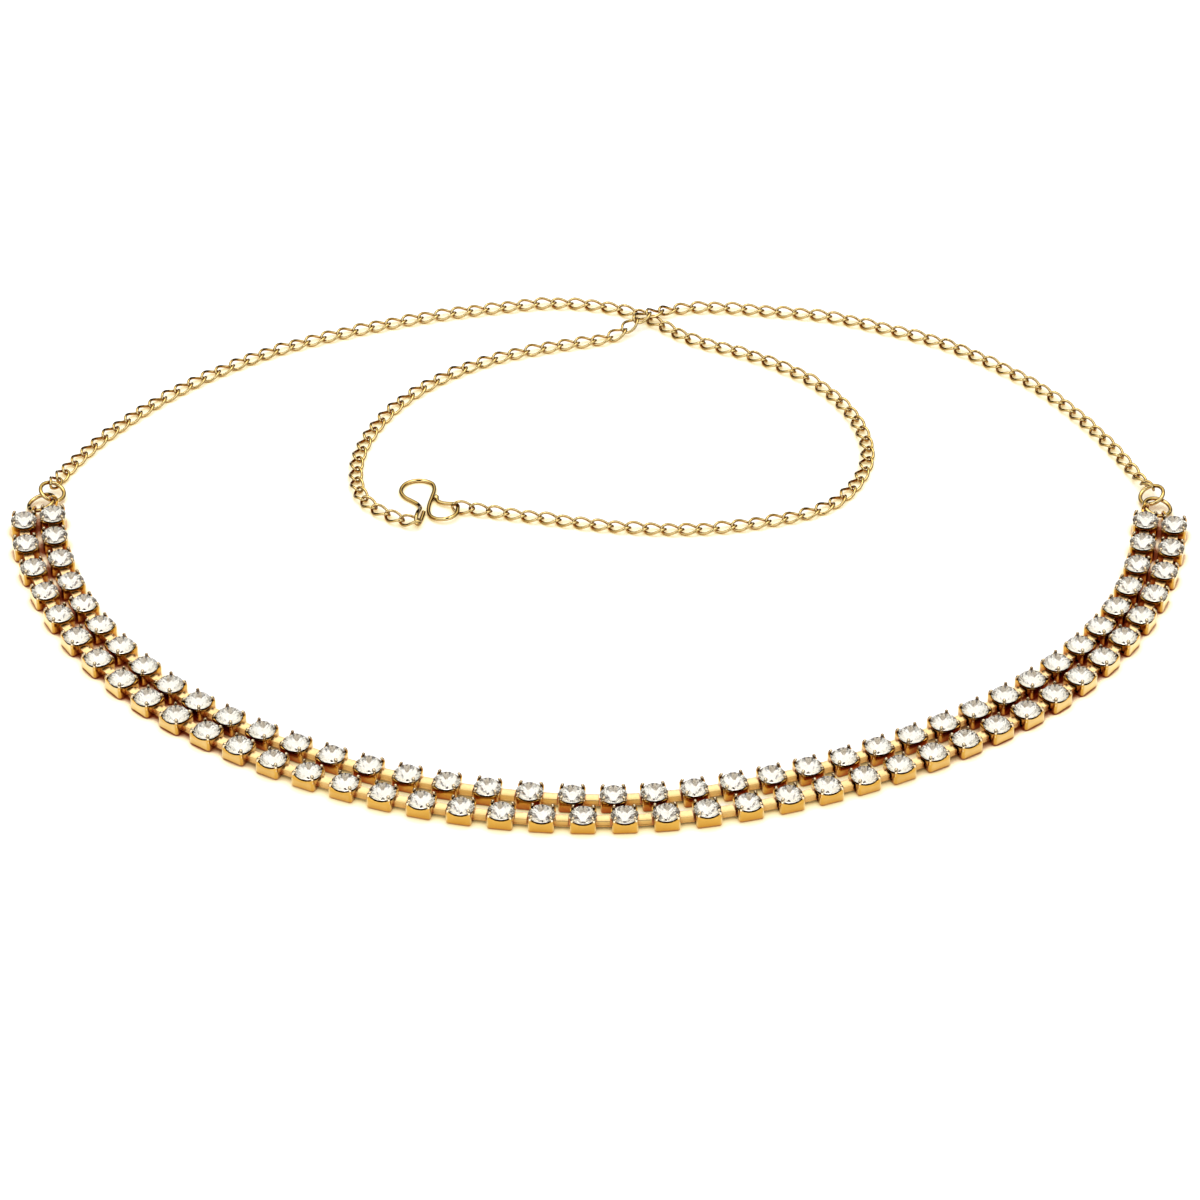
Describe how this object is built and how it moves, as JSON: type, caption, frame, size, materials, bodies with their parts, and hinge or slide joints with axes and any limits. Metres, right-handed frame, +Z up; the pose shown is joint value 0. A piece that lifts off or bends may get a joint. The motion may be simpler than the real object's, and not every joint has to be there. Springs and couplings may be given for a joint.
{
  "type": "belly chain",
  "caption": "Gold coloured belly chain with a double row of square cups and round clear stones, and curb chain closed by a bent wire hook.",
  "frame": {"origin": "centre of the layout's bounding box, on the surface that the chain lies on", "axes": "+X from left to right along the rows, +Y away from the rows toward the chains, +Z up from the surface"},
  "size_m": [0.2306, 0.174, 0.0039],
  "materials": {
    "cup_gold": "polished gold plating",
    "chain_gold": "polished gold plating",
    "clear_stone": "clear faceted glass"
  },
  "bodies": {
    "root": {"outer_cups": "cup_gold", "inner_cups": "cup_gold", "outer_stones": "clear_stone", "inner_stones": "clear_stone", "left_joining_ring": "chain_gold", "right_joining_ring": "chain_gold", "left_chain_ring": "chain_gold", "right_chain_ring": "chain_gold", "left_chain": "chain_gold", "right_chain": "chain_gold", "s_hook": "chain_gold"}
  },
  "joints": []
}
